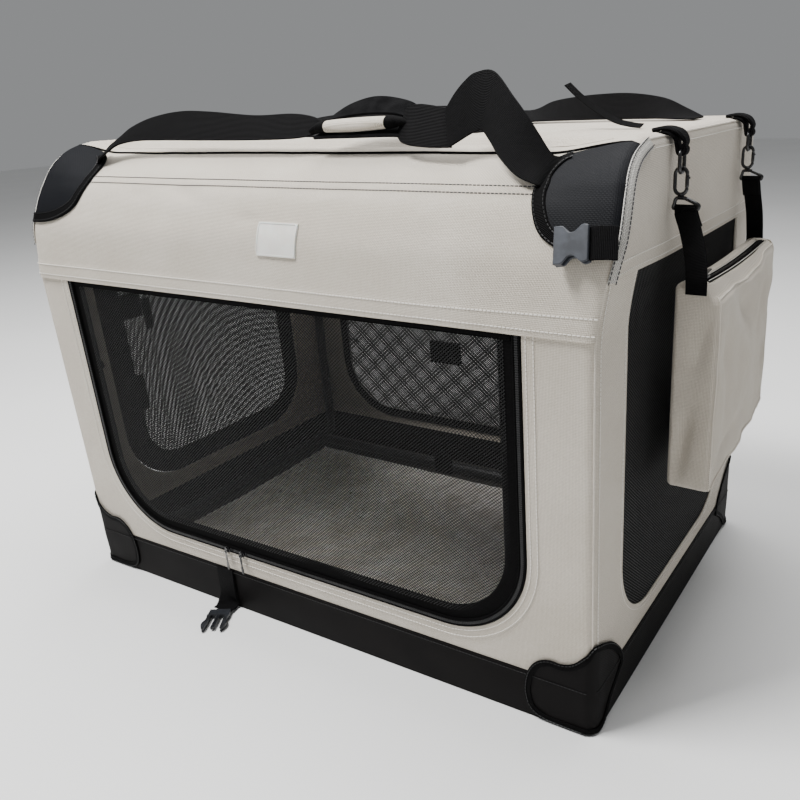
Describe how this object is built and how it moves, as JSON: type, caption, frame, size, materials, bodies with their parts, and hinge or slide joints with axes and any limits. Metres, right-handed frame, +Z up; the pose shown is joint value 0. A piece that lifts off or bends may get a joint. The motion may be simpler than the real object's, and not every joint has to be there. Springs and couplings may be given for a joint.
{
  "type": "soft folding dog crate",
  "caption": "Soft-sided folding crate for a dog: hinged steel hoop frame in a fabric cover with net doors, mat, handles and a side pouch.",
  "frame": {"origin": "middle of the underside of the floor board, on the ground", "axes": "+X to the right along the front, +Y from front to back, +Z up"},
  "size_m": [0.8714, 0.5918, 0.6676],
  "materials": {
    "canvas": "woven, matte",
    "satin": "coated, satin",
    "board": "matte",
    "fleece": "soft pile",
    "steel": "powder coat",
    "plastic": "matte",
    "grey_plastic": "satin",
    "net": "open knit",
    "tape": "matte",
    "webbing": "ribbed",
    "rubber": "matte",
    "zinc": "plated",
    "zinc_black": "black coated"
  },
  "bodies": {
    "base": {"base_board": "board", "base_band": "satin", "floor_mat": "fleece", "base_rail_front": "steel", "base_rail_back": "steel", "front_panel": "canvas", "back_panel": "canvas", "left_panel": "canvas", "right_panel": "canvas", "right_flap": "canvas", "back_window": "net", "right_window": "net", "buckle_web_front": "webbing"},
    "lower_left": {"lower_hoop_left": "steel", "knee_front_left": "plastic", "knee_back_left": "plastic"},
    "lower_right": {"lower_hoop_right": "steel", "knee_front_right": "plastic", "knee_back_right": "plastic"},
    "upper_left": {"upper_hoop_left": "steel"},
    "upper_right": {"upper_hoop_right": "steel"},
    "top_frame": {"top_rail_front": "steel", "top_rail_back": "steel", "top_panel": "canvas", "tie_tape": "webbing", "pouch_loop_front": "webbing", "pouch_loop_rear": "webbing"},
    "front_hem": {"front_flap": "canvas", "upper_patch_left": "satin", "upper_patch_right": "satin", "label_patch": "rubber"},
    "left_hem": {"left_flap": "canvas"},
    "buckle_tab": {"buckle_web": "webbing"},
    "front_zip": {"front_zipper": "tape"},
    "pouch_links": {"pouch_link_front": "zinc_black", "pouch_link_rear": "zinc_black"},
    "front_door": {"front_door": "net"},
    "left_door": {"left_door": "net"},
    "top_hatch": {"top_hatch": "net"},
    "front_slider_left": {"front_slider_left": "zinc"},
    "front_slider_right": {"front_slider_right": "zinc"},
    "front_pull_left": {"front_pull_left": "zinc"},
    "front_pull_right": {"front_pull_right": "zinc"},
    "buckle_socket": {"buckle_socket": "grey_plastic"},
    "buckle_plug": {"buckle_plug": "grey_plastic"},
    "front_handle": {"front_strap_left": "webbing", "front_strap_right": "webbing", "handle_wrap": "canvas"},
    "rear_handle": {"rear_strap": "webbing"},
    "pouch": {"snap_hook_front": "zinc_black", "snap_hook_rear": "zinc_black", "pouch_strap_front": "webbing", "pouch_strap_rear": "webbing", "pouch_body": "canvas", "pouch_zipper": "tape"},
    "gate_front": {"hook_gate_front": "zinc_black"},
    "gate_rear": {"hook_gate_rear": "zinc_black"},
    "pouch_slider": {"pouch_slider": "zinc"},
    "button_left": {"lock_button_left": "grey_plastic"},
    "button_right": {"lock_button_right": "grey_plastic"}
  },
  "joints": [
    {"name": "frame_fold", "type": "hinge", "parent": "base", "child": "lower_left", "pos_m": [-0.389, 0, 0.0175], "axis": [0, 1, 0], "range_deg": [0, 82], "deforming": ["front_panel", "back_panel", "left_panel", "right_panel", "right_flap", "back_window", "right_window", "front_zipper", "front_flap", "upper_patch_left", "upper_patch_right", "label_patch", "front_door", "left_flap", "left_door"]},
    {"name": "knee_left", "type": "hinge", "parent": "lower_left", "child": "upper_left", "pos_m": [-0.389, 0, 0.30275], "axis": [0, 1, 0], "range_deg": [-164, 0]},
    {"name": "top_level", "type": "hinge", "parent": "upper_left", "child": "top_frame", "pos_m": [-0.389, 0, 0.588], "axis": [0, 1, 0], "range_deg": [0, 82]},
    {"name": "fold_right", "type": "hinge", "parent": "base", "child": "lower_right", "pos_m": [0.389, 0, 0.0175], "axis": [0, -1, 0], "range_deg": [0, 82]},
    {"name": "knee_right", "type": "hinge", "parent": "lower_right", "child": "upper_right", "pos_m": [0.389, 0, 0.30275], "axis": [0, -1, 0], "range_deg": [-164, 0]},
    {"name": "front_hem_drop", "type": "slide", "parent": "base", "child": "front_hem", "axis": [0, 0, -1], "range_m": [0, 0.3456]},
    {"name": "left_hem_drop", "type": "slide", "parent": "base", "child": "left_hem", "axis": [0, 0, -1], "range_m": [0, 0.3844]},
    {"name": "buckle_drop", "type": "slide", "parent": "base", "child": "buckle_tab", "axis": [0, 0, -1], "range_m": [0, 0.4191]},
    {"name": "front_zip_drop", "type": "slide", "parent": "base", "child": "front_zip", "axis": [0, 0, -1], "range_m": [0, 0.0247]},
    {"name": "pouch_hang", "type": "hinge", "parent": "top_frame", "child": "pouch_links", "pos_m": [0.417, 0, 0.588], "axis": [0, -1, 0], "range_deg": [0, 86]},
    {"name": "front_door", "type": "hinge", "parent": "front_hem", "child": "front_door", "pos_m": [0, -0.262, 0.4435], "axis": [-1, 0, 0], "range_deg": [0, 110]},
    {"name": "left_door", "type": "hinge", "parent": "left_hem", "child": "left_door", "pos_m": [-0.404, 0, 0.4865], "axis": [0, 1, 0], "range_deg": [0, 110]},
    {"name": "top_hatch", "type": "hinge", "parent": "top_frame", "child": "top_hatch", "pos_m": [0.16, 0, 0.605], "axis": [0, 1, 0], "range_deg": [0, 100]},
    {"name": "front_slider_left", "type": "slide", "parent": "front_zip", "child": "front_slider_left", "axis": [-1, 0, 0], "range_m": [0, 0.1]},
    {"name": "front_slider_right", "type": "slide", "parent": "front_zip", "child": "front_slider_right", "axis": [1, 0, 0], "range_m": [0, 0.3]},
    {"name": "front_pull_left", "type": "hinge", "parent": "front_slider_left", "child": "front_pull_left", "pos_m": [-0.124, -0.2696, 0.093], "axis": [-1, 0, 0], "range_deg": [0, 90]},
    {"name": "front_pull_right", "type": "hinge", "parent": "front_slider_right", "child": "front_pull_right", "pos_m": [-0.097, -0.2696, 0.093], "axis": [-1, 0, 0], "range_deg": [0, 90]},
    {"name": "buckle_socket", "type": "hinge", "parent": "buckle_tab", "child": "buckle_socket", "pos_m": [0.4027, -0.2505, 0.525], "axis": [0, 0.4478, 0.8941], "range_deg": [0, 120]},
    {"name": "buckle_plug", "type": "hinge", "parent": "base", "child": "buckle_plug", "pos_m": [-0.135, -0.2867, 0.0045], "axis": [-0.866, -0.5, 0], "range_deg": [0, 80]},
    {"name": "front_handle_lift", "type": "slide", "parent": "top_frame", "child": "front_handle", "axis": [0, 0, 1], "range_m": [0, 0.045], "deforming": ["front_strap_left", "front_strap_right"]},
    {"name": "rear_handle_lift", "type": "slide", "parent": "top_frame", "child": "rear_handle", "axis": [0, 0, 1], "range_m": [0, 0.045], "deforming": ["rear_strap"]},
    {"name": "pouch_swing", "type": "hinge", "parent": "pouch_links", "child": "pouch", "pos_m": [0.417, 0, 0.567], "axis": [0, -1, 0], "range_deg": [0, 60]},
    {"name": "gate_front", "type": "hinge", "parent": "pouch", "child": "gate_front", "pos_m": [0.4231, -0.085, 0.5536], "axis": [0, -1, 0], "range_deg": [0, 25], "stiffness_Nm_per_rad": 0.02, "springref_deg": -11.46},
    {"name": "gate_rear", "type": "hinge", "parent": "pouch", "child": "gate_rear", "pos_m": [0.4231, 0.18, 0.5536], "axis": [0, -1, 0], "range_deg": [0, 25], "stiffness_Nm_per_rad": 0.02, "springref_deg": -11.46},
    {"name": "pouch_slider", "type": "slide", "parent": "pouch", "child": "pouch_slider", "axis": [0, 1, 0], "range_m": [0, 0.26]},
    {"name": "button_left", "type": "slide", "parent": "lower_left", "child": "button_left", "axis": [-1, 0, 0], "range_m": [0, 0.003], "stiffness_N_per_m": 400, "springref_m": -0.003},
    {"name": "button_right", "type": "slide", "parent": "lower_right", "child": "button_right", "axis": [1, 0, 0], "range_m": [0, 0.003], "stiffness_N_per_m": 400, "springref_m": -0.003}
  ],
  "couplings": [
    {"joint": "knee_left", "follows": "frame_fold", "ratio": -2},
    {"joint": "top_level", "follows": "frame_fold", "ratio": 1},
    {"joint": "fold_right", "follows": "frame_fold", "ratio": 1},
    {"joint": "knee_right", "follows": "frame_fold", "ratio": -2},
    {"joint": "front_hem_drop", "follows": "frame_fold", "m_per_rad": 0.24134},
    {"joint": "left_hem_drop", "follows": "frame_fold", "m_per_rad": 0.26845},
    {"joint": "buckle_drop", "follows": "frame_fold", "m_per_rad": 0.2927},
    {"joint": "front_zip_drop", "follows": "frame_fold", "m_per_rad": 0.017119},
    {"joint": "pouch_hang", "follows": "frame_fold", "ratio": 1.0366}
  ]
}
